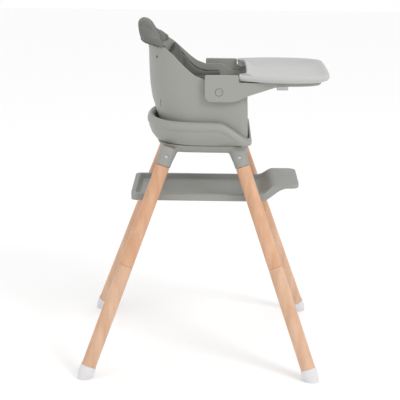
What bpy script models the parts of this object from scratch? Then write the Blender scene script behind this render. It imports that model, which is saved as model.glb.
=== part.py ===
"""Baby high chair: wooden screw-together legs, a moulded base, a lift-off seat and a sliding tray.

Metres, +Z up, +X the way the child faces, +Y the child's left. The feet stand on Z = 0.
Every real piece is one object, and each object is one closed body.
"""
from math import cos, exp, pi, radians, sin, sqrt

import bmesh
import bpy
from mathutils import Matrix, Vector

# ---------------------------------------------------------------- driving dimensions
GAP = 0.0003                    # clearance between neighbouring pieces

# legs: round, tapered, leaning in towards the seat
REAR_FOOT_X = -0.2996
FRONT_FOOT_X = 0.2866
FOOT_Y = 0.280
REAR_LEAN = 0.3685              # metres inwards in X for each metre of height
FRONT_LEAN = 0.3491
SIDE_LEAN = 0.2693              # metres inwards in Y for each metre of height
LEG_R_FOOT = 0.0190
LEG_R_TOP = 0.0183
LEG_JOINT_Z = 0.280             # height of the joint between the lower and the upper leg
SHOULDER_Z = 0.5285             # the wood meets the moulded socket here
TENON_R = 0.0160
TENON_TOP_Z = 0.575
FOOT_WOOD_Z = 0.0120            # the wood stops this far above the floor, inside the foot cap
CAP_TOP_Z = 0.0300
CAP_R = 0.0207
STUD_R = 0.0050
STUD_HALF = 0.0260
SOCKET_R = 0.0198
SOCKET_FLARE_R = 0.0225

# moulded base: a leg frame below and a rimmed cup above
CUP_REAR_X = -0.1502
CUP_FRONT_X = 0.1238
CUP_HALF_Y = 0.1730
CUP_CORNER_R = 0.0340
BACK_POWER = 2.45               # roundness of the back in plan, 2 is an ellipse
FRAME_POWER = 3.6               # the leg frame is squarer, to reach out over the sleeves
CUP_BOTTOM_Z = 0.5860
CUP_RIM_Z = 0.6490
CUP_RIM_DIP = 0.0430            # the rim is this much lower at the front
CUP_FLOOR = 0.0045
RIM_WIDTH = 0.0205
RIM_WIDTH_FRONT = 0.0085
FRAME_BOTTOM_Z = 0.5640
FRAME_INSET = 0.0270            # how far the frame's top edge lies inside the cup's outline

# seat shell
SEAT_FLOOR_Z = 0.5930
SEAT_HALF_Y = 0.1490
SEAT_FRONT_X = 0.1130
SEAT_REAR_X = -0.1468
SEAT_CORNER_R = 0.0220
SEAT_WALL = 0.0040
SEAT_LIP_Z = 0.6250             # top of the low front wall
SEAT_ARM_Z = 0.7560             # top of the side walls beside the tray
SEAT_ARM_DROP = 0.0180          # the walls dip this much to pass under the tray
HEAD_Z = 0.8840                 # top of the shell behind the head

# footrest shelf between the legs
SHELF_REAR_X = -0.1880
SHELF_FRONT_X = 0.2510
SHELF_HALF_Y = 0.1220
SHELF_TOP_Z = 0.4520
SHELF_BOTTOM_Z = 0.4330
SHELF_RISE = 0.0220             # how far the front pad stands above the shelf's rim
RAMP_X = (0.150, 0.190)

# tray
ARM_OUTER_Y = 0.1640
ARM_INNER_Y = 0.1505
ARM_REAR_X = 0.0020
ARM_TOP_Z = 0.7686
ARM_BOTTOM_Z = 0.7020
PLATE_Z = (0.7415, 0.7515)
INSERT_Z = (0.7518, 0.7700)
TRAY_NOSE_X = 0.3215
TRAY_WIDEST_X = 0.1900
TRAY_HALF_Y = 0.1820
TRAY_FRONT_HALF_Y = 0.1150
TRAY_FRONT_BOW = 0.0020
TAB_END_X = 0.0900
BUTTON_X = 0.0381
BUTTON_Z = 0.7269
BUTTON_R = 0.0094
BUTTON_TRAVEL = 0.0025
BUTTON_GROOVE = 0.0008
LATCH_Y = 0.1000
SPRING_STEPS = 11

CORNERS = {
    "rear_left": (-1, 1),
    "rear_right": (-1, -1),
    "front_left": (1, 1),
    "front_right": (1, -1),
}
SIDES = {"left": 1, "right": -1}


# ---------------------------------------------------------------- scene and materials
def clear_scene():
    for item in list(bpy.data.objects):
        bpy.data.objects.remove(item, do_unlink=True)


def new_collection(name):
    collection = bpy.data.collections.new(name)
    bpy.context.scene.collection.children.link(collection)
    return collection


def new_material(name, colour, roughness, metallic=0.0):
    material = bpy.data.materials.new(name)
    material.use_nodes = True
    shader = material.node_tree.nodes["Principled BSDF"]
    shader.inputs["Base Color"].default_value = (*colour, 1.0)
    shader.inputs["Roughness"].default_value = roughness
    shader.inputs["Metallic"].default_value = metallic
    material.diffuse_color = (*colour, 1.0)
    return material


clear_scene()
PARTS = new_collection("baby_high_chair")
CUTTERS = new_collection("cutters")
PALETTE = {
    "shell_grey": ((0.36, 0.37, 0.34), 0.5, 0.0),
    "tray_grey": ((0.60, 0.60, 0.59), 0.4, 0.0),
    "white_plastic": ((0.78, 0.77, 0.79), 0.45, 0.0),
    "beech": ((0.76, 0.46, 0.27), 0.55, 0.0),
    "liner_grey": ((0.19, 0.19, 0.18), 0.9, 0.0),
    "pad_grey": ((0.42, 0.42, 0.40), 0.9, 0.0),
    "webbing": ((0.03, 0.03, 0.03), 0.85, 0.0),
    "dark_plastic": ((0.05, 0.05, 0.05), 0.5, 0.0),
    "steel": ((0.62, 0.62, 0.63), 0.3, 1.0),
}


# ---------------------------------------------------------------- building helpers
def add_object(name, data, slot, collection=None):
    """Put mesh or curve data in the scene, with the piece's own material."""
    item = bpy.data.objects.new(name, data)
    (collection or PARTS).objects.link(item)
    if slot:
        data.materials.append(new_material(name + "_" + slot, *PALETTE[slot]))
    return item


def as_cutter(item):
    item.hide_render = True
    item.display_type = "WIRE"
    return item


def cut(item, cutter, operation="DIFFERENCE"):
    boolean = item.modifiers.new(operation.lower(), "BOOLEAN")
    boolean.operation = operation
    boolean.object = cutter
    boolean.solver = "EXACT"


def weld(item):
    """Join the doubled vertices that a long chain of cuts leaves behind."""
    modifier = item.modifiers.new("weld", "WELD")
    modifier.merge_threshold = 0.00005


def bevel(item, width, segments=2, angle=40):
    modifier = item.modifiers.new("bevel", "BEVEL")
    modifier.width = width
    modifier.segments = segments
    modifier.limit_method = "ANGLE"
    modifier.angle_limit = radians(angle)


def finish_mesh(bm, name):
    bmesh.ops.recalc_face_normals(bm, faces=bm.faces)
    mesh = bpy.data.meshes.new(name)
    bm.to_mesh(mesh)
    bm.free()
    return mesh


def loft(name, rings, slot, collection=None):
    """A closed body through rings of equal length, with a flat cap on the first and last."""
    bm = bmesh.new()
    rows = [[bm.verts.new(point) for point in ring] for ring in rings]
    count = len(rows[0])
    for low, high in zip(rows, rows[1:]):
        for i in range(count):
            j = (i + 1) % count
            bm.faces.new((low[i], low[j], high[j], high[i]))
    bm.faces.new(rows[0])
    bm.faces.new(rows[-1])
    return add_object(name, finish_mesh(bm, name), slot, collection)


def box(name, low, high, slot=None, edge=0.0, collection=None):
    bm = bmesh.new()
    bmesh.ops.create_cube(bm, size=1.0)
    low, high = Vector(low), Vector(high)
    bmesh.ops.scale(bm, vec=high - low, verts=bm.verts)
    item = add_object(name, finish_mesh(bm, name), slot, collection)
    item.location = (low + high) / 2
    if edge:
        bevel(item, edge, 3)
    return item


def turned(name, profile, slot, frame, steps=32, collection=None):
    """A turned piece: the profile of (radius, height) runs down its outer side."""
    mesh = bpy.data.meshes.new(name)
    points = [(radius, 0.0, height) for radius, height in profile]
    mesh.from_pydata(points, [(i, i + 1) for i in range(len(points) - 1)], [])
    item = add_object(name, mesh, slot, collection)
    item.matrix_world = frame
    screw = item.modifiers.new("screw", "SCREW")
    screw.steps = steps
    screw.render_steps = steps
    screw.use_merge_vertices = True
    screw.merge_threshold = 0.0001
    return item


def rod(name, start, end, radius, slot=None, steps=24, collection=None):
    """A plain round bar between two points."""
    frame = axis_frame(Vector(start), Vector(end) - Vector(start))
    length = (Vector(end) - Vector(start)).length
    profile = [(0, length), (radius, length), (radius, 0), (0, 0)]
    return turned(name, profile, slot, frame, steps, collection)


def axis_frame(origin, direction):
    """A frame at origin whose +Z lies along direction."""
    turn = Vector((0, 0, 1)).rotation_difference(direction.normalized())
    return Matrix.Translation(origin) @ turn.to_matrix().to_4x4()


def extruded(name, outline, thickness, slot, frame, collection=None):
    """A flat outline of (x, y) points given thickness either side of its plane."""
    curve = bpy.data.curves.new(name, "CURVE")
    curve.dimensions = "2D"
    curve.fill_mode = "BOTH"
    curve.extrude = thickness / 2
    spline = curve.splines.new("POLY")
    spline.points.add(len(outline) - 1)
    for point, (x, y) in zip(spline.points, outline):
        point.co = (x, y, 0, 1)
    spline.use_cyclic_u = True
    item = add_object(name, curve, slot, collection)
    item.matrix_world = frame
    return to_mesh(item)


def to_mesh(item):
    """Swap a curve object for a mesh object with its caps welded on."""
    depsgraph = bpy.context.evaluated_depsgraph_get()
    name = item.name
    mesh = bpy.data.meshes.new_from_object(item.evaluated_get(depsgraph))
    bm = bmesh.new()
    bm.from_mesh(mesh)
    bmesh.ops.remove_doubles(bm, verts=bm.verts, dist=0.00002)
    bmesh.ops.recalc_face_normals(bm, faces=bm.faces)
    bm.to_mesh(mesh)
    bm.free()
    collection = item.users_collection[0]
    matrix = item.matrix_world.copy()
    bpy.data.objects.remove(item, do_unlink=True)
    fresh = bpy.data.objects.new(name, mesh)
    fresh.matrix_world = matrix
    collection.objects.link(fresh)
    return fresh


def ribbon(name, path, width, thickness, slot, across):
    """A flat strap along a path of points; across is the direction of its width."""
    side = Vector(across).normalized() * (width / 2)
    points = [Vector(point) for point in path]
    rings = []
    for i, point in enumerate(points):
        ahead = points[min(i + 1, len(points) - 1)] - points[max(i - 1, 0)]
        up = side.cross(ahead).normalized() * (thickness / 2)
        rings.append([point - side - up, point + side - up, point + side + up, point - side + up])
    return loft(name, rings, slot)


# ---------------------------------------------------------------- shapes worked out from the sizes
def smoothstep(value, low, high):
    t = min(max((value - low) / (high - low), 0.0), 1.0)
    return t * t * (3 - 2 * t)


def plan(rear, front, half_y, corner_r, power=BACK_POWER):
    """The plan of the seat and base: straight front and sides, and a round back.

    The points run from the middle of the front, round the left side and back by the right.
    """
    left = [(front, (half_y - corner_r) * k / 6) for k in range(6)]
    for k in range(7):
        angle = pi / 2 * k / 6
        x = front - corner_r + corner_r * cos(angle)
        left.append((x, half_y - corner_r + corner_r * sin(angle)))
    left += [((front - corner_r) * (1 - k / 6), half_y) for k in range(1, 6)]
    for k in range(17):
        angle = pi / 2 * k / 16
        left.append((rear * sin(angle) ** (2 / power), half_y * cos(angle) ** (2 / power)))
    right = [(x, -y) for x, y in left[-2:0:-1]]
    return left + right


def rounded(outline, radius, steps=4):
    """Round each corner of a closed polygon with an arc-like fan of points."""
    result = []
    count = len(outline)
    for i, corner in enumerate(outline):
        here = Vector(corner)
        before = Vector(outline[i - 1]) - here
        after = Vector(outline[(i + 1) % count]) - here
        reach = min(radius, before.length / 2.2, after.length / 2.2)
        start = here + before.normalized() * reach
        end = here + after.normalized() * reach
        for k in range(steps + 1):
            t = k / steps
            point = start * (1 - t) ** 2 + here * 2 * t * (1 - t) + end * t ** 2
            result.append((point.x, point.y))
    return result


def leg_point(corner, z):
    """The leg's centre line at a height."""
    ahead, side = corner
    foot_x = FRONT_FOOT_X if ahead > 0 else REAR_FOOT_X
    lean = FRONT_LEAN if ahead > 0 else REAR_LEAN
    return Vector((foot_x - ahead * lean * z, side * (FOOT_Y - SIDE_LEAN * z), z))


def leg_frame_at(corner, z):
    """A frame on the leg's centre line, with +Z up the leg."""
    return axis_frame(leg_point(corner, z), leg_point(corner, 1.0) - leg_point(corner, 0.0))


def outwards_from_leg(corner):
    """The direction square to the leg that points most nearly away from the chair's side."""
    axis = (leg_point(corner, 1.0) - leg_point(corner, 0.0)).normalized()
    sideways = Vector((0, corner[1], 0))
    return (sideways - axis * sideways.dot(axis)).normalized()


def along_leg(corner, z_low, z_high):
    return (leg_point(corner, z_high) - leg_point(corner, z_low)).length


def leg_radius(z):
    return LEG_R_FOOT + (LEG_R_TOP - LEG_R_FOOT) * z / SHOULDER_Z


def cup_rim_z(x):
    return CUP_RIM_Z - CUP_RIM_DIP * smoothstep(x, 0.035, 0.125)


def cup_ring(inset, z_of, power=BACK_POWER):
    """The cup's outline moved inwards; the rim is narrower at the front."""
    front_inset = inset * RIM_WIDTH_FRONT / RIM_WIDTH
    if inset > RIM_WIDTH:
        front_inset = RIM_WIDTH_FRONT + (inset - RIM_WIDTH) * 0.1
    corner_r = max(CUP_CORNER_R - inset * 0.5, 0.0200)
    outline = plan(CUP_REAR_X + inset, CUP_FRONT_X - front_inset, CUP_HALF_Y - inset, corner_r, power)
    return [(x, y, z_of(x)) for x, y in outline]


# ---------------------------------------------------------------- legs
def build_lower_leg(name, corner):
    length = along_leg(corner, FOOT_WOOD_Z, LEG_JOINT_Z)
    top_r = leg_radius(LEG_JOINT_Z)
    bore = STUD_R + GAP
    profile = [
        (0, length - STUD_HALF - GAP),
        (bore, length - STUD_HALF - GAP),
        (bore, length),
        (top_r - 0.0006, length),
        (top_r, length - 0.0006),
        (LEG_R_FOOT, 0),
        (0, 0),
    ]
    turned("leg_lower_" + name, profile, "beech", leg_frame_at(corner, FOOT_WOOD_Z), 24)


def build_upper_leg(name, corner, holes):
    start_z = LEG_JOINT_Z + GAP
    shoulder = along_leg(corner, start_z, SHOULDER_Z)
    top = along_leg(corner, start_z, TENON_TOP_Z)
    low_r = leg_radius(LEG_JOINT_Z)
    bore = STUD_R + GAP
    profile = [
        (0, top),
        (TENON_R, top),
        (TENON_R, shoulder),
        (LEG_R_TOP, shoulder),
        (low_r, 0.0006),
        (low_r - 0.0006, 0),
        (bore, 0),
        (bore, STUD_HALF + GAP),
        (0, STUD_HALF + GAP),
    ]
    leg = turned("leg_upper_" + name, profile, "beech", leg_frame_at(corner, start_z), 24)
    for hole in holes:
        cut(leg, hole)


def build_stud(name, corner):
    half = STUD_HALF
    edge = 0.0008
    profile = [(0, half), (STUD_R - edge, half), (STUD_R, half - edge)]
    profile += [(STUD_R, -half + edge), (STUD_R - edge, -half), (0, -half)]
    turned("leg_stud_" + name, profile, "steel", leg_frame_at(corner, LEG_JOINT_Z), 16)


def build_foot_cap(name, corner, floor_cutter):
    """A soft cup round the end of the leg, cut level with the floor."""
    inner = leg_radius(CAP_TOP_Z) + 2 * GAP
    floor = along_leg(corner, 0, FOOT_WOOD_Z) - GAP
    top = along_leg(corner, 0, CAP_TOP_Z)
    profile = [
        (0, floor),
        (inner, floor),
        (inner, top),
        (CAP_R - 0.0008, top),
        (CAP_R, top - 0.0010),
        (CAP_R, 0.0120),
        (CAP_R - 0.0030, -0.0010),
        (CAP_R - 0.0040, -0.0100),
        (0, -0.0100),
    ]
    cap = turned("foot_cap_" + name, profile, "white_plastic", leg_frame_at(corner, 0), 24)
    cut(cap, floor_cutter)


# ---------------------------------------------------------------- bolts
LEG_BOLT_Z = 0.5520
BRACKET_BOLT_Z = 0.3960
BRACKET_PAD = 0.0080            # thickness of the bracket between the leg and the bolt's head
BOLT_HEAD_R = 0.0052
BOLT_R = 0.0030


def bolt_profile(head_r, head_h, shank_r, length):
    """A button-head bolt with a hexagon-key recess, head up, seated at height 0."""
    key = head_r * 0.42
    return [
        (0, head_h * 0.35),
        (key, head_h * 0.35),
        (key, head_h),
        (head_r * 0.65, head_h),
        (head_r, head_h * 0.30),
        (head_r, 0),
        (shank_r, 0),
        (shank_r, -length),
        (0, -length),
    ]


def build_bolt(name, seat, direction, length):
    """A bolt whose head stands out along direction, and the cutter for its spot-faced hole."""
    frame = axis_frame(seat, direction)
    lifted = axis_frame(seat + direction * 0.0002, direction)
    turned(name, bolt_profile(BOLT_HEAD_R, 0.0030, BOLT_R, length), "steel", lifted, 16)
    head_r = BOLT_HEAD_R + GAP
    hole_r = BOLT_R + GAP
    depth = length + 0.0006
    profile = [(0, 0.012), (head_r, 0.012), (head_r, 0), (hole_r, 0), (hole_r, -depth), (0, -depth)]
    return as_cutter(turned("cut_" + name, profile, None, frame, 16, CUTTERS))


def build_leg_bolt(name, corner):
    """The bolt that goes through the socket into the top of the leg."""
    outwards = outwards_from_leg(corner)
    seat = leg_point(corner, LEG_BOLT_Z) + outwards * (SOCKET_R - 0.0010)
    return build_bolt("leg_bolt_" + name, seat, outwards, 0.0280)


def build_bracket_bolt(name, corner):
    """The bolt that goes through the footrest's bracket into the leg from inside."""
    inwards = -outwards_from_leg(corner)
    reach = leg_radius(BRACKET_BOLT_Z) + BRACKET_PAD - 0.0012
    seat = leg_point(corner, BRACKET_BOLT_Z) + inwards * reach
    return build_bolt("footrest_bolt_" + name, seat, inwards, 0.0230)


# ---------------------------------------------------------------- moulded base
def build_leg_frame(leg_bolt_cutters):
    """The lower moulding: a shallow plate with four sleeves for the legs."""
    def ring(extra, z):
        return cup_ring(FRAME_INSET + extra, lambda x: z, FRAME_POWER)

    top_z = CUP_BOTTOM_Z - GAP
    rings = [
        ring(0.0160, FRAME_BOTTOM_Z),
        ring(0.0125, FRAME_BOTTOM_Z + 0.0015),
        ring(0.0100, FRAME_BOTTOM_Z + 0.0050),
        ring(0.0030, top_z - 0.0060),
        ring(0.0000, top_z),
    ]
    frame = loft("leg_frame", rings, "shell_grey")
    for name, corner in CORNERS.items():
        low = SHOULDER_Z + GAP
        high = top_z - 0.0100
        length = along_leg(corner, low, high)
        profile = [
            (0, length),
            (SOCKET_FLARE_R, length),
            (SOCKET_FLARE_R, length * 0.80),
            (SOCKET_R, length * 0.30),
            (SOCKET_R, 0.0008),
            (SOCKET_R - 0.0008, 0),
            (0, 0),
        ]
        sleeve = turned("add_sleeve_" + name, profile, None, leg_frame_at(corner, low), 28, CUTTERS)
        cut(frame, as_cutter(sleeve), "UNION")
    for name, corner in CORNERS.items():
        start = leg_point(corner, SHOULDER_Z - 0.02)
        end = leg_point(corner, TENON_TOP_Z + GAP)
        bore = rod("cut_sleeve_" + name, start, end, TENON_R + GAP, None, 28, CUTTERS)
        cut(frame, as_cutter(bore))
        cut(frame, leg_bolt_cutters[name])
    return frame


def build_base_cup():
    """The upper moulding: a shallow bowl with a thick rolled rim that dips at the front."""
    def level(z):
        return lambda x: z

    def below_rim(drop):
        def height(x):
            room = (cup_rim_z(x) - CUP_BOTTOM_Z - 0.0030) / 0.0240
            return cup_rim_z(x) - drop * min(1.0, room)
        return height

    def between(share, low):
        top = below_rim(0.0240)
        return lambda x: low + (top(x) - low) * share

    floor_z = CUP_BOTTOM_Z + CUP_FLOOR
    rings = [
        cup_ring(0.0900, level(CUP_BOTTOM_Z)),
        cup_ring(0.0260, level(CUP_BOTTOM_Z)),
        cup_ring(0.0220, level(CUP_BOTTOM_Z + 0.0012)),
        cup_ring(0.0110, between(0.40, CUP_BOTTOM_Z)),
        cup_ring(0.0045, between(0.85, CUP_BOTTOM_Z)),
        cup_ring(0.0040, below_rim(0.0235)),
        cup_ring(0.0008, below_rim(0.0195)),
        cup_ring(0.0000, below_rim(0.0140)),
        cup_ring(0.0014, below_rim(0.0070)),
        cup_ring(0.0052, below_rim(0.0020)),
        cup_ring(0.0100, below_rim(0.0000)),
        cup_ring(0.0150, below_rim(0.0016)),
        cup_ring(0.0190, below_rim(0.0060)),
        cup_ring(RIM_WIDTH, below_rim(0.0120)),
        cup_ring(RIM_WIDTH + 0.0006, between(0.60, floor_z)),
        cup_ring(0.0225, level(floor_z)),
        cup_ring(0.0900, level(floor_z)),
    ]
    return loft("base_cup", rings, "shell_grey")


def build_base_screws(frame, cup):
    """Four countersunk screws that hold the cup to the leg frame from below."""
    head_z = FRAME_BOTTOM_Z + 0.0040
    for name, (ahead, side) in CORNERS.items():
        x = -0.013 + ahead * 0.048
        y = side * 0.060
        frame_at = Matrix.Translation((x, y, head_z)) @ Matrix.Rotation(pi, 4, "X")
        profile = bolt_profile(0.0042, 0.0022, 0.0018, 0.0200)
        turned("base_screw_" + name, profile, "steel", frame_at, 16)
        shank = rod("cut_screw_" + name, (x, y, head_z - 0.001), (x, y, head_z + 0.0204),
                    0.0018 + GAP, None, 16, CUTTERS)
        head = rod("cut_screw_head_" + name, (x, y, FRAME_BOTTOM_Z - 0.005), (x, y, head_z + GAP),
                   0.0042 + GAP, None, 20, CUTTERS)
        cut(frame, as_cutter(shank))
        cut(frame, as_cutter(head))
        cut(cup, shank)
    weld(frame)


# ---------------------------------------------------------------- footrest
BRACKET_LOW_Z = 0.3700
BRACKET_HALF_X = 0.0160
SHELF_RIM = 0.0130
SHELF_RECESS = 0.0100


def shelf_top_z(x):
    return SHELF_TOP_Z + SHELF_RISE * smoothstep(x, *RAMP_X)


def shelf_bottom_z(x):
    return SHELF_BOTTOM_Z + 0.0310 * smoothstep(x, RAMP_X[0] + 0.005, RAMP_X[1] + 0.030)


def shelf_half_y(x):
    """Half the shelf's width: rounded at both ends, and narrower at the raised front."""
    width = SHELF_HALF_Y - 0.0200 * smoothstep(x, 0.140, 0.200)
    for end, radius in ((SHELF_REAR_X, 0.016), (SHELF_FRONT_X, 0.022)):
        inside = min(abs(x - end) / radius, 1.0)
        width -= radius * (1 - sqrt(1 - (1 - inside) ** 2))
    return width


def build_footrest():
    """A shallow tray with a raised rim, whose front ramps up to a rounded foot pad."""
    ends = [0.0, 0.0020, 0.0060, 0.0110, 0.0160, 0.0220]
    stations = [SHELF_REAR_X + step for step in ends]
    stations += [-0.120, -0.060, 0.0, 0.060, 0.120, 0.140, 0.150]
    stations += [0.160, 0.168, 0.176, 0.184, 0.192, 0.202, 0.214, 0.222]
    stations += [SHELF_FRONT_X - step for step in reversed(ends)]
    rings = []
    for x in stations:
        half = shelf_half_y(x)
        top, bottom = shelf_top_z(x), shelf_bottom_z(x)
        end_share = smoothstep(x, SHELF_REAR_X + 0.011, SHELF_REAR_X + 0.022)
        depth = SHELF_RECESS * end_share * (1 - smoothstep(x, 0.140, RAMP_X[1]))
        inner = half - SHELF_RIM
        edge = min(0.0030, (top - bottom) / 4)
        rings.append([
            (x, -half + edge, bottom), (x, half - edge, bottom),
            (x, half, bottom + edge), (x, half, top - edge), (x, half - edge, top),
            (x, inner, top), (x, inner - 0.0050, top - depth),
            (x, -inner + 0.0050, top - depth), (x, -inner, top),
            (x, -half + edge, top), (x, -half, top - edge), (x, -half, bottom + edge),
        ])
    loft("footrest", rings, "shell_grey")


def build_bracket(name, corner, bolt_cutter):
    """A saddle on the leg's inner side with a ledge under the footrest."""
    side = corner[1]
    top_z = SHELF_BOTTOM_Z - GAP
    rings = []
    for z in (BRACKET_LOW_Z, top_z):
        centre = leg_point(corner, z)
        outer = centre.y - side * 0.0040
        inner = centre.y - side * (leg_radius(z) + BRACKET_PAD)
        rings.append([
            (centre.x - BRACKET_HALF_X, inner, z), (centre.x + BRACKET_HALF_X, inner, z),
            (centre.x + BRACKET_HALF_X, outer, z), (centre.x - BRACKET_HALF_X, outer, z),
        ])
    bracket = loft("footrest_bracket_" + name, rings, "shell_grey")
    at_top = leg_point(corner, top_z)
    ys = sorted((side * (SHELF_HALF_Y - 0.026), at_top.y - side * (LEG_R_TOP + 0.004)))
    ledge = box("add_ledge_" + name, (at_top.x - BRACKET_HALF_X + 0.001, ys[0], top_z - 0.0090),
                (at_top.x + BRACKET_HALF_X - 0.001, ys[1], top_z - 0.0002), collection=CUTTERS)
    cut(bracket, as_cutter(ledge), "UNION")
    leg = rod("cut_saddle_" + name, leg_point(corner, 0.330), leg_point(corner, 0.470),
              leg_radius(0.33) + GAP, None, 40, CUTTERS)
    cut(bracket, as_cutter(leg))
    cut(bracket, bolt_cutter)


# ---------------------------------------------------------------- seat shell
def back_depth(z):
    """How far the shell's back reaches behind X = 0 at a height."""
    belly = -SEAT_REAR_X - 0.0180 * exp(-(max(z, 0.640) - 0.665) / 0.045)
    return belly + 0.0180 * smoothstep(z, 0.822, 0.885)


def shell_point(x, y, z, wall=0.0):
    """A point of the plan carried to a height, where the back leans and flares."""
    if x < 0:
        x *= (back_depth(z) - wall) / (-SEAT_REAR_X - wall)
    return (x, y, z)


def shell_top_z(x, y):
    """The height of the shell's edge: low front, level beside the tray, sweeping up behind."""
    sweep = SEAT_ARM_Z + (0.8440 - SEAT_ARM_Z) * smoothstep(-x, -0.005, 0.135)
    sweep -= SEAT_ARM_DROP * smoothstep(x, 0.045, 0.080)
    head = (HEAD_Z - 0.8440) * smoothstep(-abs(y), -0.100, -0.030) * smoothstep(-x, 0.080, 0.130)
    if x > SEAT_FRONT_X - SEAT_CORNER_R:
        corner = smoothstep(abs(y), SEAT_HALF_Y - SEAT_CORNER_R, SEAT_HALF_Y - 0.0080)
        return SEAT_LIP_Z + (SEAT_ARM_Z - SEAT_ARM_DROP - SEAT_LIP_Z) * corner
    return sweep + head


def seat_plan(wall):
    return plan(SEAT_REAR_X + wall, SEAT_FRONT_X - wall, SEAT_HALF_Y - wall, SEAT_CORNER_R - wall)


def build_seat_shell():
    """A bucket seat: a low lip at the front, side walls, and a back that flares behind the head."""
    outer, inner = seat_plan(0.0), seat_plan(SEAT_WALL)
    tops = [shell_top_z(x, y) for x, y in outer]

    def ring(outline, share, base, wall, drop=0.0):
        result = []
        for (x, y), top in zip(outline, tops):
            z = base + (top - drop - base) * share
            result.append(shell_point(x, y, z, wall))
        return result

    def shrunk(outline, factor, z):
        return [(x * factor, y * factor, z) for x, y, _ in ring(outline, 0, z, SEAT_WALL)]

    shares = [k / 9 for k in range(1, 9)]
    rings = [shrunk(outer, 0.90, SEAT_FLOOR_Z)]
    rings.append([(x * 0.97, y * 0.97, z) for x, y, z in ring(outer, 0, SEAT_FLOOR_Z, 0.0)])
    rings.append(ring(outer, 0, SEAT_FLOOR_Z + 0.0050, 0.0))
    rings += [ring(outer, share, SEAT_FLOOR_Z + 0.0050, 0.0) for share in shares]
    rings.append(ring(outer, 1, SEAT_FLOOR_Z, 0.0, 0.0012))
    rings.append(ring(seat_plan(0.0014), 1, SEAT_FLOOR_Z, 0.0014))
    rings.append(ring(seat_plan(0.0026), 1, SEAT_FLOOR_Z, 0.0026))
    rings.append(ring(inner, 1, SEAT_FLOOR_Z, SEAT_WALL, 0.0012))
    floor_z = SEAT_FLOOR_Z + SEAT_WALL
    rings += [ring(inner, share, floor_z + 0.0040, SEAT_WALL) for share in reversed(shares)]
    rings.append(ring(inner, 0, floor_z + 0.0040, SEAT_WALL))
    rings.append([(x * 0.97, y * 0.97, floor_z) for x, y, z in ring(inner, 0, floor_z, SEAT_WALL)])
    shell = loft("seat_shell", rings, "shell_grey")
    for name, side in SIDES.items():
        slots = {
            "strap_slot_": ((-0.1240, side * 0.1000, 0.8060), (0.0085, 0.040, 0.0062), -0.45),
            "belt_slit_": ((-0.1080, side * 0.0960, 0.6860), (0.0024, 0.040, 0.0200), 0.15),
        }
        for label, (centre, size, tilt) in slots.items():
            cutter = box("cut_" + label + name, Vector(size) / -2, Vector(size) / 2, collection=CUTTERS)
            cutter.location = centre
            cutter.rotation_euler = (0, tilt, side * radians(45))
            cut(shell, as_cutter(cutter))
    return shell


# ---------------------------------------------------------------- liner and cushions
PAD_GAP = 0.0010
HOOD_GAP = 0.0030
HOOD_END_X = -0.1000
HOOD_FRONT_LOW_Z = 0.7960
HOOD_BACK_LOW_Z = 0.8320
BACK_PAD = 0.0120
WING_END_X = 0.0500
SEAT_PAD_TOP_Z = 0.6180


def sheet_body(name, front_grid, back_grid, slot):
    """A closed body between two grids of points of the same size."""
    bm = bmesh.new()
    fronts = [[bm.verts.new(point) for point in row] for row in front_grid]
    backs = [[bm.verts.new(point) for point in row] for row in back_grid]
    rows, columns = len(fronts), len(fronts[0])
    for grid in (fronts, backs):
        for i in range(rows - 1):
            for j in range(columns - 1):
                bm.faces.new((grid[i][j], grid[i + 1][j], grid[i + 1][j + 1], grid[i][j + 1]))
    edge = [(0, j) for j in range(columns)]
    edge += [(i, columns - 1) for i in range(1, rows)]
    edge += [(rows - 1, j) for j in range(columns - 2, -1, -1)]
    edge += [(i, 0) for i in range(rows - 2, 0, -1)]
    for (i, j), (k, m) in zip(edge, edge[1:] + edge[:1]):
        bm.faces.new((fronts[i][j], fronts[k][m], backs[k][m], backs[i][j]))
    return add_object(name, finish_mesh(bm, name), slot)


def liner_top_z(x, y):
    """The liner's edge: below the head pad behind, then along the shell's edge and down."""
    wing = shell_top_z(x, y) + 0.0030 - 0.0200 * smoothstep(x, -0.085, -0.040)
    behind = smoothstep(-x, 0.086, 0.102)
    return wing + (0.7880 - wing) * behind


def build_back_liner():
    """A padded sheet that lines the back and both sides of the seat."""
    shell_wall = SEAT_WALL + PAD_GAP
    back_plan, front_plan = seat_plan(shell_wall), seat_plan(shell_wall + BACK_PAD)
    picked = [i for i, (x, y) in enumerate(back_plan) if x <= WING_END_X]
    low_z = SEAT_PAD_TOP_Z + 0.0020
    shares = [k / 10 for k in range(11)]
    grids = []
    for outline, wall in ((front_plan, shell_wall + BACK_PAD), (back_plan, shell_wall)):
        grid = []
        for share in shares:
            row = []
            for i in picked:
                x, y = outline[i]
                top = liner_top_z(*back_plan[i])
                row.append(shell_point(x, y, low_z + (top - low_z) * share, wall))
            grid.append(row)
        grids.append(grid)
    sheet_body("back_liner", grids[0], grids[1], "liner_grey")


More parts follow.
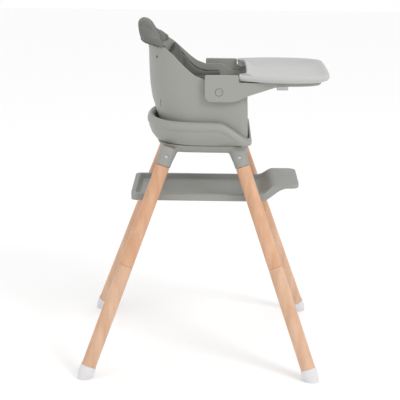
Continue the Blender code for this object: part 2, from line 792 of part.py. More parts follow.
def build_head_pad():
    """A padded hood round the shell's back: in front of it, over its edge and down behind."""
    outer = seat_plan(0.0)
    picked = [i for i, (x, y) in enumerate(outer) if x <= HOOD_END_X]
    behind, ahead = -HOOD_GAP, SEAT_WALL + HOOD_GAP

    def at(i, z, wall, lift=0.0):
        x, y = seat_plan(wall)[i]
        return shell_point(x, y, z + lift, wall)

    front_grid, back_grid = [], []
    for i in picked:
        x, y = outer[i]
        full = smoothstep(HOOD_END_X - x, 0.0, HOOD_END_X - SEAT_REAR_X)
        fat = 0.45 + 0.55 * full
        top = shell_top_z(x, y)
        crown = 0.0100 * smoothstep(abs(y), 0.070, 0.115) * smoothstep(-x, 0.106, 0.122)
        low_front = top - 0.0120 + (HOOD_FRONT_LOW_Z - top + 0.0120) * full
        low_back = top - 0.0050 + (HOOD_BACK_LOW_Z - top + 0.0050) * full
        mid_front, mid_back = (low_front + top) / 2 - 0.004, (low_back + top) / 2
        front_grid.append([
            at(i, low_back, behind - 0.0095 * fat), at(i, mid_back, behind - 0.0110 * fat),
            at(i, top, behind - 0.0105 * fat, 0.0010),
            at(i, top, behind - 0.0070 * fat, 0.0080 * fat + crown * 0.5),
            at(i, top, 0.0010, 0.0040 + 0.0085 * fat + crown),
            at(i, top, 0.0110, 0.0040 + 0.0065 * fat + crown),
            at(i, top, ahead + 0.0137 * fat, 0.0030 + crown * 0.5), at(i, top - 0.0080, ahead + 0.0162 * fat),
            at(i, mid_front, ahead + 0.0162 * fat), at(i, low_front, ahead + 0.0147 * fat),
        ])
        back_grid.append([
            at(i, low_back, behind), at(i, mid_back, behind),
            at(i, top, behind, -0.0010), at(i, top, behind, 0.0022),
            at(i, top, 0.0010, 0.0030), at(i, top, SEAT_WALL - 0.0005, 0.0028),
            at(i, top, ahead, 0.0020), at(i, top - 0.0080, ahead),
            at(i, mid_front, ahead), at(i, low_front, ahead),
        ])
    sheet_body("head_pad", front_grid, back_grid, "liner_grey")


def build_seat_pad():
    """A flat cushion on the seat's floor."""
    low_z = SEAT_FLOOR_Z + SEAT_WALL + 0.0006
    rings = []
    for inset, z in ((0.030, low_z), (0.014, low_z), (0.010, low_z + 0.006),
                     (0.010, SEAT_PAD_TOP_Z - 0.006), (0.014, SEAT_PAD_TOP_Z), (0.030, SEAT_PAD_TOP_Z)):
        outline = plan(-0.1150 + inset, SEAT_FRONT_X - inset, SEAT_HALF_Y - inset, 0.024)
        rings.append([(x, y, z) for x, y in outline])
    loft("seat_pad", rings, "liner_grey")


# ---------------------------------------------------------------- harness
STRAP_W = 0.0200
STRAP_T = 0.0016
BUCKLE_LOW = (-0.0120, -0.0225, 0.6270)
BUCKLE_HIGH = (0.0360, 0.0225, 0.6400)
HARNESS_BUTTON_X = 0.0130
HARNESS_BUTTON_R = 0.0080
HARNESS_TRAVEL = 0.0020


def shoulder_path(side):
    """Down the backrest and forward over the seat pad to the buckle."""
    return [
        (-0.1210, side * 0.0320, 0.7650), (-0.1170, side * 0.0315, 0.7200),
        (-0.1095, side * 0.0300, 0.6830), (-0.0945, side * 0.0275, 0.6580),
        (-0.0700, side * 0.0235, 0.6410), (-0.0400, side * 0.0190, 0.6345),
        (-0.0130, side * 0.0140, 0.6330),
    ]


def build_harness():
    for name, side in SIDES.items():
        path = shoulder_path(side)
        ribbon("shoulder_strap_" + name, path, STRAP_W, STRAP_T, "webbing", (0, 1, 0))
        lift = STRAP_T / 2 + GAP + 0.0025
        pad = [(x + lift, y, z) for x, y, z in path[:2]]
        pad.append((path[2][0] + lift * 0.95, path[2][1], path[2][2] + lift * 0.40 + 0.0040))
        cover = ribbon("shoulder_pad_" + name, pad, 0.0340, 0.0050, "pad_grey", (0, 1, 0))
        bevel(cover, 0.0016)
        waist = [
            (-0.0550, side * 0.0960, 0.6420), (-0.0420, side * 0.0800, 0.6340),
            (-0.0200, side * 0.0560, 0.6315), (0.0040, side * 0.0275, 0.6325),
        ]
        ribbon("waist_strap_" + name, waist, STRAP_W, STRAP_T, "webbing", (0.9, side * 0.436, 0))
    crotch = [(0.0840, 0, 0.6215), (0.0620, 0, 0.6260), (0.0368, 0, 0.6320)]
    ribbon("crotch_strap", crotch, 0.0280, STRAP_T, "webbing", (0, 1, 0))
    buckle = box("buckle", BUCKLE_LOW, BUCKLE_HIGH, "dark_plastic")
    floor_z = BUCKLE_HIGH[2] - 0.0065
    recess = rod("cut_buckle", (HARNESS_BUTTON_X, 0, floor_z), (HARNESS_BUTTON_X, 0, 0.660),
                 HARNESS_BUTTON_R + GAP, None, 24, CUTTERS)
    bevel(buckle, 0.0018)
    cut(buckle, as_cutter(recess))
    profile = [(0, 0.0055), (HARNESS_BUTTON_R - 0.0010, 0.0055), (HARNESS_BUTTON_R, 0.0045),
               (HARNESS_BUTTON_R, 0), (0, 0)]
    rest = Matrix.Translation((HARNESS_BUTTON_X, 0, floor_z + HARNESS_TRAVEL + 0.0005))
    turned("buckle_button", profile, "pad_grey", rest, 24)


# ---------------------------------------------------------------- tray
def tray_outline(inset, z):
    """The insert's plan: a near-straight front, full corners, narrowing sides, a body cut-out."""
    nose = TRAY_NOSE_X - TRAY_FRONT_BOW - TRAY_WIDEST_X
    rear_x, rear_y = 0.0885, 0.1600
    left = []
    for k in range(4):
        left.append((TRAY_NOSE_X - TRAY_FRONT_BOW * (k / 4) ** 2, TRAY_FRONT_HALF_Y * k / 4))
    for k in range(13):
        angle = pi / 2 * k / 12
        x = TRAY_WIDEST_X + nose * cos(angle) ** (2 / 2.45)
        reach = (TRAY_HALF_Y - TRAY_FRONT_HALF_Y) * sin(angle) ** (2 / 2.45)
        left.append((x, TRAY_FRONT_HALF_Y + reach))
    for k in range(1, 7):
        x = TRAY_WIDEST_X - (TRAY_WIDEST_X - rear_x) * k / 6
        left.append((x, rear_y + (TRAY_HALF_Y - rear_y) * cos(pi / 2 * k / 6)))
    left += [(rear_x, rear_y - 0.0060), (rear_x, 0.1370), (0.0950, 0.1300), (0.1030, 0.1240)]
    left += [(0.1062, 0.1080), (0.1075, 0.0800), (0.1082, 0.0500), (0.1085, 0.0)]
    middle_x = (TRAY_NOSE_X + 0.1085) / 2
    half_x = TRAY_NOSE_X - middle_x
    ring = left + [(x, -y) for x, y in left[-2:0:-1]]
    fx, fy = 1 - inset / half_x, 1 - inset / TRAY_HALF_Y
    end_x = rear_x + 0.30 * min(inset, 0.0080) + 1.18 * max(inset - 0.0080, 0.0)
    result = []
    for x, y in ring:
        moved_x = middle_x + (x - middle_x) * fx
        if x < TAB_END_X:
            moved_x = end_x + x - rear_x
        result.append((moved_x, y * fy, z))
    return result


def build_insert():
    """The lift-off tray: a shallow dish with a raised, rounded rim."""
    low, high = INSERT_Z
    rings = [
        tray_outline(0.0300, low),
        tray_outline(0.0120, low),
        tray_outline(0.0040, low + 0.0035),
        tray_outline(0.0000, low + 0.0105),
        tray_outline(0.0004, high - 0.0030),
        tray_outline(0.0030, high),
        tray_outline(0.0080, high - 0.0006),
        tray_outline(0.0130, high - 0.0040),
        tray_outline(0.0240, low + 0.0075),
        tray_outline(0.0400, low + 0.0050),
    ]
    loft("tray_insert", rings, "tray_grey")


def arm_outline():
    plate_low, plate_high = PLATE_Z
    corners = [
        (ARM_REAR_X, ARM_TOP_Z), (0.0872, ARM_TOP_Z), (0.0872, plate_high), (0.1900, plate_high),
        (0.1900, plate_low), (0.1825, plate_low), (0.1120, 0.7180), (0.0880, 0.7060),
        (0.0700, ARM_BOTTOM_Z), (0.0130, ARM_BOTTOM_Z), (ARM_REAR_X, 0.7120),
    ]
    return rounded(corners, 0.0040)


def build_tray_base():
    """Two arms that hug the seat's sides, joined by a plate under the insert."""
    plate_low, plate_high = PLATE_Z
    plate_rings = [tray_outline(0.0290, plate_low), tray_outline(0.0270, plate_low + 0.0020),
                   tray_outline(0.0260, plate_high)]
    plate_rings = [[(x + 0.006, y, z) for x, y, z in ring] for ring in plate_rings]
    base = loft("tray_base", plate_rings, "shell_grey")
    upright = Matrix.Rotation(pi / 2, 4, "X")
    for name, side in SIDES.items():
        middle = side * (ARM_OUTER_Y + ARM_INNER_Y) / 2
        arm = extruded("add_arm_" + name, arm_outline(), ARM_OUTER_Y - ARM_INNER_Y, None,
                       Matrix.Translation((0, middle, 0)) @ upright, CUTTERS)
        cut(base, as_cutter(arm), "UNION")
        bridge = box("add_bridge_" + name, (0.1150, min(side * 0.120, side * 0.1600), plate_low + 0.0004),
                     (0.2050, max(side * 0.120, side * 0.1600), plate_high - 0.0004), collection=CUTTERS)
        cut(base, as_cutter(bridge), "UNION")
    for name, side in SIDES.items():
        start = (BUTTON_X, side * (ARM_INNER_Y + 0.0018), BUTTON_Z)
        end = (BUTTON_X, side * (ARM_OUTER_Y + 0.01), BUTTON_Z)
        pocket = rod("cut_button_" + name, start, end, BUTTON_R + BUTTON_GROOVE, None, 32, CUTTERS)
        cut(base, as_cutter(pocket))
        ys = sorted((side * (LATCH_Y - 0.0068), side * (LATCH_Y + 0.0130)))
        slot = box("cut_latch_" + name, (0.1933, ys[0], 0.730), (0.2077, ys[1], 0.760), collection=CUTTERS)
        cut(base, as_cutter(slot))


def build_tray_buttons():
    """A dished push button on each arm, and the short spring behind it."""
    for name, side in SIDES.items():
        outwards = Vector((0, side, 0))
        thickness = 0.0050
        seat = Vector((BUTTON_X, side * (ARM_OUTER_Y + 0.0002 - thickness), BUTTON_Z))
        profile = [
            (0, thickness - 0.0010), (0.0052, thickness - 0.0010), (0.0064, thickness - 0.0004),
            (0.0070, thickness), (BUTTON_R - 0.0005, thickness), (BUTTON_R, thickness - 0.0005),
            (BUTTON_R, 0), (0, 0),
        ]
        turned("tray_button_" + name, profile, "shell_grey", axis_frame(seat, outwards), 32)
        floor_y = ARM_INNER_Y + 0.0018 + GAP
        room = ARM_OUTER_Y + 0.0002 - thickness - floor_y
        start = (BUTTON_X, side * floor_y, BUTTON_Z)
        build_spring("button_spring_" + name, start, side, room - BUTTON_TRAVEL - GAP)


def build_spring(name, start, side, length, coil_r=0.0055, wire_r=0.0004, turns=3):
    """A coil spring whose axis runs along Y, short enough to leave the button its travel."""
    pitch = (length - 2 * wire_r) / turns
    curve = bpy.data.curves.new(name, "CURVE")
    curve.dimensions = "3D"
    curve.bevel_depth = wire_r
    curve.bevel_resolution = 1
    curve.use_fill_caps = True
    spline = curve.splines.new("POLY")
    count = SPRING_STEPS * turns
    spline.points.add(count)
    for k, point in enumerate(spline.points):
        angle = 2 * pi * k / SPRING_STEPS
        reach = wire_r + pitch * turns * k / count
        x = start[0] + coil_r * cos(angle)
        z = start[2] + coil_r * sin(angle)
        point.co = (x, start[1] + side * reach, z, 1)
    item = add_object(name, curve, "steel")
    to_mesh(item)


def build_insert_latches():
    """A white finger tab under each side of the tray, with a neck up through the plate."""
    for name, side in SIDES.items():
        y = side * LATCH_Y
        latch = box("insert_latch_" + name, (0.1865, y - 0.0120, 0.7250), (0.2150, y + 0.0120, 0.7412),
                    "white_plastic")
        neck = box("add_neck_" + name, (0.1945, y - 0.0055, 0.7380), (0.2065, y + 0.0055, 0.7500),
                   collection=CUTTERS)
        cut(latch, as_cutter(neck), "UNION")
        bevel(latch, 0.0012)


# ---------------------------------------------------------------- assembly
def build_high_chair():
    floor_cutter = as_cutter(box("cut_floor", (-0.6, -0.6, -0.1), (0.6, 0.6, 0.0), collection=CUTTERS))
    leg_bolt_cutters = {}
    for name, corner in CORNERS.items():
        leg_bolt_cutters[name] = build_leg_bolt(name, corner)
        bracket_cutter = build_bracket_bolt(name, corner)
        build_lower_leg(name, corner)
        build_upper_leg(name, corner, [leg_bolt_cutters[name], bracket_cutter])
        build_stud(name, corner)
        build_foot_cap(name, corner, floor_cutter)
        build_bracket(name, corner, bracket_cutter)
    frame = build_leg_frame(leg_bolt_cutters)
    cup = build_base_cup()
    build_base_screws(frame, cup)
    build_footrest()
    build_seat_shell()
    build_back_liner()
    build_head_pad()
    build_seat_pad()
    build_harness()
    build_tray_base()
    build_insert()
    build_tray_buttons()
    build_insert_latches()


build_high_chair()
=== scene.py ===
"""Looks of a baby high chair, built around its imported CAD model.

Hard pieces keep their CAD shape and get a material. The padded liner is swelled by a cloth
simulation, then sewn and piped. The straps are woven ribbons. Everything is in metres.
"""

from math import atan2, exp, pi, radians

import bpy
from mathutils import Matrix, Vector


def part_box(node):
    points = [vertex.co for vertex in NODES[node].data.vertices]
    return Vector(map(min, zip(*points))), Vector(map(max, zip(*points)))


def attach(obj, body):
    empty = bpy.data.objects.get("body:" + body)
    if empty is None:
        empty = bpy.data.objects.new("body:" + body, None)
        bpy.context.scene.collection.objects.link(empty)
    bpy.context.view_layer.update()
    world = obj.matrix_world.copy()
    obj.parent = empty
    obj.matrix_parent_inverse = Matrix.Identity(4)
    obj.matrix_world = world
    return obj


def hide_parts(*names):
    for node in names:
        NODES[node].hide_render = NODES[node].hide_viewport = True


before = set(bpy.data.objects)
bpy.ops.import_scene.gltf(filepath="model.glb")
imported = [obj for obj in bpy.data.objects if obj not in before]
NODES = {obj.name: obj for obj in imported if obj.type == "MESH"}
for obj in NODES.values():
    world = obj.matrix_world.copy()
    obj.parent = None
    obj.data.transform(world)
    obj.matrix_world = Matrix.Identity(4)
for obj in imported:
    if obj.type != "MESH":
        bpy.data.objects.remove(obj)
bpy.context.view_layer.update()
CORNERS = ("rear_left", "rear_right", "front_left", "front_right")
SIDES = ("left", "right")

# ---------------------------------------------------------------- camera
CAMERA_PLACE = (0.0250, -3.3489, 1.2567)
CAMERA_PITCH = 0.2490
CAMERA_YAW = 0.0101
CAMERA_ROLL = 0.0104
CAMERA_LENS = 114.96
CAMERA_SENSOR = 36.0

# ---------------------------------------------------------------- studio
LIGHT_TARGET = (0, 0, 0.6)
KEY_PLACE = (1.8, -1.9, 2.6)
KEY_SIZE = 1.2
KEY_POWER = 34
FILL_PLACE = (-2.2, -1.6, 1.8)
FILL_SIZE = 2.0
FILL_POWER = 5
FLOOR_REACH = 9
FLOOR_WHITE = (0.96, 0.96, 0.96)

# ---------------------------------------------------------------- padding
VOXEL = 0.0040
SMOOTHING_STEPS = 4
CLOTH_FRAMES = 20
CLOTH_PRESSURE = 4.0
SEAM_DEPTH = 0.0022
SEAM_WIDTH = 0.0042
PIPING_RADIUS = 0.0021
PIPING_STEP = radians(3)
PIPING_CENTRE_X = 0.02
BEHIND_WEIGHT = 2.2
SHRINK_SHARE = 0.35
HOOD_SMOOTHING_STEPS = 18
LINER_SWELL = 0.0026
HOOD_SWELL = 0.0030
SEAT_SWELL = 0.0035
PAD_SWELL = 0.0010
BACK_SEAM_Y = 0.052
BACK_SEAM_LEVEL = 0.52
WING_SEAM_X = -0.060
HOOD_SEAM_Y = 0.055
SEAT_SEAM_Y = 0.062

# ---------------------------------------------------------------- mouldings and straps
FRAME_VOXEL = 0.0020
FRAME_SMOOTHING_STEPS = 12
WELD_DISTANCE = 0.00002
SHARP_ANGLE = radians(33)
STRAP_EDGE = 0.0004
STRAP_EDGE_ANGLE = radians(40)

# ---------------------------------------------------------------- colours, linear
SHELL_GREY = (0.275, 0.279, 0.256)
TRAY_GREY = (0.430, 0.430, 0.420)
WHITE_PLASTIC = (0.64, 0.63, 0.65)
LINER_GREY = (0.150, 0.151, 0.140)
PIPING_GREY = (0.085, 0.085, 0.080)
PAD_GREY = (0.42, 0.42, 0.40)
WEBBING = (0.030, 0.030, 0.031)
DARK_PLASTIC = (0.05, 0.05, 0.05)
STEEL = (0.62, 0.62, 0.63)
WOOD_UPPER = ((0.530, 0.290, 0.168), (0.640, 0.392, 0.258))
WOOD_LOWER = ((0.545, 0.326, 0.205), (0.660, 0.436, 0.305))


def make_camera():
    data = bpy.data.cameras.new("camera")
    data.lens = CAMERA_LENS
    data.sensor_width = CAMERA_SENSOR
    camera = bpy.data.objects.new("camera", data)
    bpy.context.scene.collection.objects.link(camera)
    turn = Matrix.Rotation(CAMERA_YAW, 4, "Z") @ Matrix.Rotation(pi / 2 - CAMERA_PITCH, 4, "X")
    camera.matrix_world = Matrix.Translation(CAMERA_PLACE) @ turn @ Matrix.Rotation(CAMERA_ROLL, 4, "Z")
    bpy.context.scene.camera = camera


def area_light(name, place, size, power):
    """A round lamp, turned to face the middle of the chair."""
    data = bpy.data.lights.new(name, "AREA")
    data.shape = "DISK"
    data.size = size
    data.energy = power
    light = bpy.data.objects.new(name, data)
    light.location = place
    light.rotation_euler = (Vector(LIGHT_TARGET) - Vector(place)).to_track_quat("-Z", "Y").to_euler()
    bpy.context.scene.collection.objects.link(light)


def make_studio():
    """A pale floor, an even white surround, and two soft lamps."""
    world = bpy.data.worlds.new("studio")
    world.use_nodes = True
    background = world.node_tree.nodes["Background"]
    background.inputs["Color"].default_value = (1.0, 1.0, 1.0, 1.0)
    background.inputs["Strength"].default_value = 1.0
    bpy.context.scene.world = world
    area_light("key", KEY_PLACE, KEY_SIZE, KEY_POWER)
    area_light("fill", FILL_PLACE, FILL_SIZE, FILL_POWER)
    corners = [(x * FLOOR_REACH, y * FLOOR_REACH, 0) for x, y in ((-1, -1), (1, -1), (1, 1), (-1, 1))]
    mesh = bpy.data.meshes.new("floor")
    mesh.from_pydata(corners, [], [(0, 1, 2, 3)])
    floor = bpy.data.objects.new("floor", mesh)
    bpy.context.scene.collection.objects.link(floor)
    mesh.materials.append(new_material("floor_white", FLOOR_WHITE, 0.9)[0])


# ---------------------------------------------------------------- materials
def new_material(name, colour, roughness):
    material = bpy.data.materials.new(name)
    material.use_nodes = True
    shader = material.node_tree.nodes["Principled BSDF"]
    shader.inputs["Base Color"].default_value = (*colour, 1)
    shader.inputs["Roughness"].default_value = roughness
    return material, shader


def add_node(material, kind, **settings):
    """A node with its attributes and unlinked sockets set by name."""
    node = material.node_tree.nodes.new(kind)
    for key, value in settings.items():
        if hasattr(node, key):
            setattr(node, key, value)
        else:
            node.inputs[key.replace("_", " ").title()].default_value = value
    return node


def link(material, source, target):
    material.node_tree.links.new(source, target)


def object_coordinates(material, scale=(1, 1, 1), rotation=(0, 0, 0)):
    source = add_node(material, "ShaderNodeTexCoord")
    mapping = add_node(material, "ShaderNodeMapping")
    mapping.inputs["Rotation"].default_value = rotation
    mapping.inputs["Scale"].default_value = scale
    link(material, source.outputs["Object"], mapping.inputs["Vector"])
    return mapping.outputs["Vector"]


def noise(material, vector, scale, detail=3.0, roughness=0.5):
    node = add_node(material, "ShaderNodeTexNoise", scale=scale, detail=detail, roughness=roughness)
    link(material, vector, node.inputs["Vector"])
    return node.outputs["Fac"]


def ramp_range(material, factor, low, high, low_at=0.0, high_at=1.0):
    node = add_node(material, "ShaderNodeMapRange")
    for name, value in (("From Min", low_at), ("From Max", high_at), ("To Min", low), ("To Max", high)):
        node.inputs[name].default_value = value
    link(material, factor, node.inputs["Value"])
    return node.outputs["Result"]


def mix_colours(material, factor, first, second):
    node = add_node(material, "ShaderNodeMix", data_type="RGBA")
    link(material, factor, node.inputs["Factor"])
    for socket, value in ((node.inputs[6], first), (node.inputs[7], second)):
        if hasattr(value, "node"):
            link(material, value, socket)
        else:
            socket.default_value = (*value, 1)
    return node.outputs[2]


def bump(material, shader, height, distance, strength=1.0):
    node = add_node(material, "ShaderNodeBump")
    node.inputs["Distance"].default_value = distance
    node.inputs["Strength"].default_value = strength
    link(material, height, node.inputs["Height"])
    link(material, node.outputs["Normal"], shader.inputs["Normal"])


def scaled(colour, factor):
    return tuple(channel * factor for channel in colour)


def moulded_plastic(name, colour, roughness=0.46):
    """Satin plastic: a fine spark-eroded grain, and a faint drift in tone and gloss."""
    material, shader = new_material(name, colour, roughness)
    vector = object_coordinates(material)
    drift = noise(material, vector, 9.0, 2.0)
    tone = mix_colours(material, drift, scaled(colour, 0.965), scaled(colour, 1.03))
    link(material, tone, shader.inputs["Base Color"])
    gloss = ramp_range(material, noise(material, vector, 60.0), roughness - 0.05, roughness + 0.06)
    link(material, gloss, shader.inputs["Roughness"])
    bump(material, shader, noise(material, vector, 1900.0, 2.0), 0.00005, 0.55)
    return material


def lacquered_wood(name, tones, axis):
    """Straight-grained beech along an axis: long figure, dark flecks and fine pores."""
    material, shader = new_material(name, tones[0], 0.42)
    turn = Vector(axis).rotation_difference(Vector((0, 0, 1))).to_euler()
    figure_at = object_coordinates(material, (46, 46, 2.6), turn)
    fleck_at = object_coordinates(material, (620, 620, 70), turn)
    pore_at = object_coordinates(material, (1500, 1500, 45), turn)
    figure = ramp_range(material, noise(material, figure_at, 1.0, 5.0, 0.55), 0.0, 1.0, 0.32, 0.68)
    flecks = ramp_range(material, noise(material, fleck_at, 1.0, 2.0), 0.0, 0.55, 0.60, 0.74)
    body = mix_colours(material, figure, tones[0], tones[1])
    link(material, mix_colours(material, flecks, body, scaled(tones[0], 0.72)), shader.inputs["Base Color"])
    shader.inputs["Specular IOR Level"].default_value = 0.30
    pores = noise(material, pore_at, 1.0, 2.0)
    link(material, ramp_range(material, pores, 0.37, 0.50), shader.inputs["Roughness"])
    bump(material, shader, pores, 0.00012, 0.35)
    return material


def woven_cloth(name, colour, pitch=0.0011, depth=0.00022, sheen=0.12):
    """A plain weave seen from any side: three crossed thread waves with painted shade in their valleys,
    slubs and mottling.
    """
    material, shader = new_material(name, colour, 0.86)
    shader.inputs["Sheen Weight"].default_value = sheen
    shader.inputs["Sheen Roughness"].default_value = 0.45
    vector = object_coordinates(material)
    total = None
    for direction in ("X", "Y", "Z"):
        wave = add_node(material, "ShaderNodeTexWave", bands_direction=direction)
        wave.inputs["Scale"].default_value = 0.314 / pitch
        wave.inputs["Distortion"].default_value = 0.5
        link(material, vector, wave.inputs["Vector"])
        if total is None:
            total = wave.outputs["Fac"]
            continue
        add = add_node(material, "ShaderNodeMath", operation="ADD")
        link(material, total, add.inputs[0])
        link(material, wave.outputs["Fac"], add.inputs[1])
        total = add.outputs[0]
    threads = ramp_range(material, total, 0.0, 1.0, 0.3, 2.7)
    mottle = noise(material, vector, 55.0, 4.0)
    base = mix_colours(material, mottle, scaled(colour, 0.88), scaled(colour, 1.12))
    # Painted shade: the valleys between the threads are up to 30% darker, the same mask that lowers them in
    # the bump.
    shade = mix_colours(material, threads, scaled(colour, 0.70), base)
    link(material, shade, shader.inputs["Base Color"])
    bump(material, shader, threads, depth, 0.8)
    return material


def plated_steel(name):
    """Zinc plate with fine turning marks and a little tarnish."""
    material, shader = new_material(name, STEEL, 0.30)
    shader.inputs["Metallic"].default_value = 1.0
    vector = object_coordinates(material)
    tarnish = noise(material, vector, 140.0, 4.0)
    link(material, mix_colours(material, tarnish, scaled(STEEL, 0.82), STEEL), shader.inputs["Base Color"])
    link(material, ramp_range(material, tarnish, 0.22, 0.42), shader.inputs["Roughness"])
    bump(material, shader, noise(material, vector, 2600.0, 1.0), 0.00003, 0.4)
    return material


def paint(node, material):
    NODES[node].data.materials.clear()
    NODES[node].data.materials.append(material)


def middle(node):
    low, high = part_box(node)
    return (low + high) / 2


def copy_of(node, name):
    piece = bpy.data.objects.new(name, NODES[node].data.copy())
    bpy.context.scene.collection.objects.link(piece)
    piece.data.materials.clear()
    return piece


def apply_modifiers(piece):
    graph = bpy.context.evaluated_depsgraph_get()
    mesh = bpy.data.meshes.new_from_object(piece.evaluated_get(graph))
    piece.modifiers.clear()
    old = piece.data
    piece.data = mesh
    bpy.data.meshes.remove(old)


def shade_smooth(piece):
    for polygon in piece.data.polygons:
        polygon.use_smooth = True


def build_moulding(node, name, body, material):
    """A large moulding with even shading on its curves, and crisp edges where it turns sharply."""
    piece = copy_of(node, name)
    weld = piece.modifiers.new("weld", "WELD")
    weld.merge_threshold = WELD_DISTANCE
    apply_modifiers(piece)
    normals = piece.data.attributes.get("custom_normal")
    if normals:
        piece.data.attributes.remove(normals)
    shade_smooth(piece)
    piece.data.set_sharp_from_angle(angle=SHARP_ANGLE)
    piece.data.materials.append(material)
    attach(piece, body)
    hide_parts(node)


def paint_hard_pieces(shell):
    tray = moulded_plastic("tray_grey", TRAY_GREY, 0.40)
    white = moulded_plastic("white_plastic", WHITE_PLASTIC, 0.42)
    dark = moulded_plastic("dark_plastic", DARK_PLASTIC, 0.38)
    grey_button = moulded_plastic("button_grey", PAD_GREY, 0.45)
    steel = plated_steel("steel")
    build_moulding("seat_shell", "seat_moulding", "seat", shell)
    build_moulding("base_cup", "cup_moulding", "stand", shell)
    build_moulding("footrest", "footrest_moulding", "stand", shell)
    build_moulding("tray_base", "tray_frame_moulding", "tray", shell)
    build_moulding("tray_insert", "tray_top_moulding", "tray_insert", tray)
    paint("buckle", dark)
    paint("buckle_button", grey_button)
    for side in SIDES:
        paint("tray_button_" + side, shell)
        paint("button_spring_" + side, steel)
        paint("insert_latch_" + side, white)
    for corner in CORNERS:
        paint("footrest_bracket_" + corner, shell)
        paint("foot_cap_" + corner, white)
        for part in ("leg_stud_", "leg_bolt_", "footrest_bolt_", "base_screw_"):
            paint(part + corner, steel)
        axis = (middle("leg_upper_" + corner) - middle("leg_lower_" + corner)).normalized()
        paint("leg_upper_" + corner, lacquered_wood("beech_upper_" + corner, WOOD_UPPER, axis))
        paint("leg_lower_" + corner, lacquered_wood("beech_lower_" + corner, WOOD_LOWER, axis))


# ---------------------------------------------------------------- padded pieces
def shrink(piece, amount):
    """Moves the surface inwards, to leave room for the swelling."""
    normals = [vertex.normal.copy() for vertex in piece.data.vertices]
    for vertex, normal in zip(piece.data.vertices, normals):
        vertex.co -= normal * amount


def swell(piece, cap):
    """Blows the closed cover up with Cloth pressure, and keeps each point within cap of its start."""
    start = [vertex.co.copy() for vertex in piece.data.vertices]
    cloth = piece.modifiers.new("cloth", "CLOTH")
    settings = cloth.settings
    settings.use_pressure = True
    settings.uniform_pressure_force = CLOTH_PRESSURE
    settings.effector_weights.gravity = 0
    settings.quality = 5
    settings.tension_stiffness = 12
    settings.bending_stiffness = 0.4
    cloth.point_cache.frame_start = 1
    cloth.point_cache.frame_end = CLOTH_FRAMES
    scene = bpy.context.scene
    for step in range(1, CLOTH_FRAMES + 1):
        scene.frame_set(step)
    apply_modifiers(piece)
    scene.frame_set(1)
    for vertex, origin in zip(piece.data.vertices, start):
        move = vertex.co - origin
        if move.length > cap:
            vertex.co = origin + move * (cap / move.length)


def refine(piece):
    modifier = piece.modifiers.new("subdivision", "SUBSURF")
    modifier.levels = 1
    modifier.render_levels = 1
    apply_modifiers(piece)
    shade_smooth(piece)


def sew(piece, seams):
    """Draws the cover in along each seam, given as a function for the distance from it."""
    normals = [vertex.normal.copy() for vertex in piece.data.vertices]
    for vertex, normal in zip(piece.data.vertices, normals):
        pull = max(exp(-(seam(vertex.co) / SEAM_WIDTH) ** 2) for seam in seams)
        vertex.co -= normal * SEAM_DEPTH * pull


def padded_piece(node, name, material, cap, seams, smoothing=SMOOTHING_STEPS):
    """A cover that stands in for a CAD cushion: softened, blown up by at most cap, and sewn."""
    piece = copy_of(node, name)
    remesh = piece.modifiers.new("remesh", "REMESH")
    remesh.mode = "VOXEL"
    remesh.voxel_size = VOXEL
    softening = piece.modifiers.new("softening", "SMOOTH")
    softening.factor = 0.5
    softening.iterations = smoothing
    apply_modifiers(piece)
    shrink(piece, cap * SHRINK_SHARE)
    swell(piece, cap)
    refine(piece)
    if seams:
        sew(piece, seams)
    piece.data.materials.append(material)
    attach(piece, "seat")
    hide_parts(node)
    return piece


def across(y):
    """A seam in the plane Y = y, and its mirror."""
    return lambda point: abs(abs(point.y) - y)


def level(z):
    return lambda point: abs(point.z - z)


def upright(x):
    return lambda point: abs(point.x - x)


def reach(point):
    """How far a point is from the upright line through the seat's middle."""
    return (point.xy - Vector((PIPING_CENTRE_X, 0))).length


def rim_line(piece, score):
    """The best-scoring point in each direction round the seat's middle, as one even line."""
    best = {}
    for vertex in piece.data.vertices:
        point = vertex.co
        key = round(atan2(point.y, PIPING_CENTRE_X - point.x) / PIPING_STEP)
        if key not in best or score(point) > score(best[key]):
            best[key] = point.copy()
    line = [best[key] for key in sorted(best)]
    for _ in range(SMOOTHING_STEPS):
        inner = [(a + 2 * b + c) / 4 for a, b, c in zip(line, line[1:], line[2:])]
        line = [line[0]] + inner + [line[-1]]
    return line


def add_piping(name, line, material):
    """A sewn-in cord of cloth along a line."""
    curve = bpy.data.curves.new(name, "CURVE")
    curve.dimensions = "3D"
    curve.bevel_depth = PIPING_RADIUS
    curve.bevel_resolution = 3
    curve.use_fill_caps = True
    spline = curve.splines.new("POLY")
    spline.points.add(len(line) - 1)
    for target, point in zip(spline.points, line):
        target.co = (*point, 1)
    curve.materials.append(material)
    piping = bpy.data.objects.new(name, curve)
    bpy.context.scene.collection.objects.link(piping)
    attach(piping, "seat")


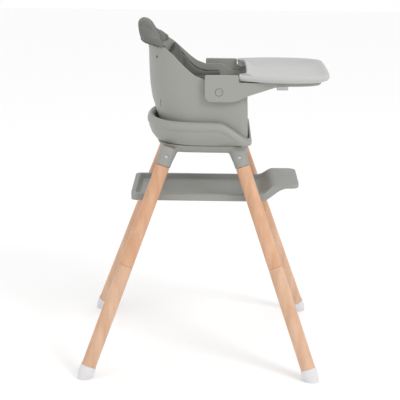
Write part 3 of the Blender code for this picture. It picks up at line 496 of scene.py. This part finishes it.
def build_liner(cloth, light_cloth, piping_cloth):
    low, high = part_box("back_liner")
    halfway = low.z + (high.z - low.z) * BACK_SEAM_LEVEL
    back = padded_piece("back_liner", "liner_back", cloth, LINER_SWELL,
                        [across(BACK_SEAM_Y), level(halfway), upright(WING_SEAM_X)])
    head = padded_piece("head_pad", "liner_head", cloth, HOOD_SWELL,
                        [across(HOOD_SEAM_Y)], HOOD_SMOOTHING_STEPS)
    seat_seams = [across(SEAT_SEAM_Y), upright(middle("seat_pad").x)]
    padded_piece("seat_pad", "liner_seat", cloth, SEAT_SWELL, seat_seams)
    for side in SIDES:
        padded_piece("shoulder_pad_" + side, "shoulder_cover_" + side, light_cloth, PAD_SWELL, [])
    add_piping("piping_liner", rim_line(back, lambda point: point.z), piping_cloth)
    lower_back_edge = rim_line(head, lambda point: BEHIND_WEIGHT * reach(point) - point.z)
    add_piping("piping_head", lower_back_edge, piping_cloth)


def build_smooth_frame(material):
    """The leg frame as one moulding: its sleeves run into the ring in soft fillets."""
    piece = copy_of("leg_frame", "frame_moulding")
    remesh = piece.modifiers.new("remesh", "REMESH")
    remesh.mode = "VOXEL"
    remesh.voxel_size = FRAME_VOXEL
    fillet = piece.modifiers.new("fillet", "SMOOTH")
    fillet.factor = 0.5
    fillet.iterations = FRAME_SMOOTHING_STEPS
    apply_modifiers(piece)
    shade_smooth(piece)
    piece.data.materials.append(material)
    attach(piece, "stand")
    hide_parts("leg_frame")


# ---------------------------------------------------------------- straps
def build_strap(node, name, material):
    """Webbing with a soft rounded edge."""
    piece = copy_of(node, name)
    rounding = piece.modifiers.new("edge", "BEVEL")
    rounding.width = STRAP_EDGE
    rounding.segments = 2
    rounding.limit_method = "ANGLE"
    rounding.angle_limit = STRAP_EDGE_ANGLE
    apply_modifiers(piece)
    piece.data.materials.append(material)
    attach(piece, "seat")
    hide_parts(node)


def build_harness(material):
    for side in SIDES:
        build_strap("shoulder_strap_" + side, "harness_shoulder_" + side, material)
        build_strap("waist_strap_" + side, "harness_waist_" + side, material)
    build_strap("crotch_strap", "harness_crotch", material)


bpy.context.scene.view_settings.view_transform = "Standard"
make_camera()
make_studio()
shell_plastic = moulded_plastic("shell_grey", SHELL_GREY)
paint_hard_pieces(shell_plastic)
build_smooth_frame(shell_plastic)
build_liner(
    woven_cloth("liner_cloth", LINER_GREY),
    woven_cloth("pad_cloth", PAD_GREY),
    woven_cloth("piping_cloth", PIPING_GREY, 0.0008, 0.00015),
)
build_harness(woven_cloth("webbing_weave", WEBBING, 0.0016, 0.00035, 0.05))
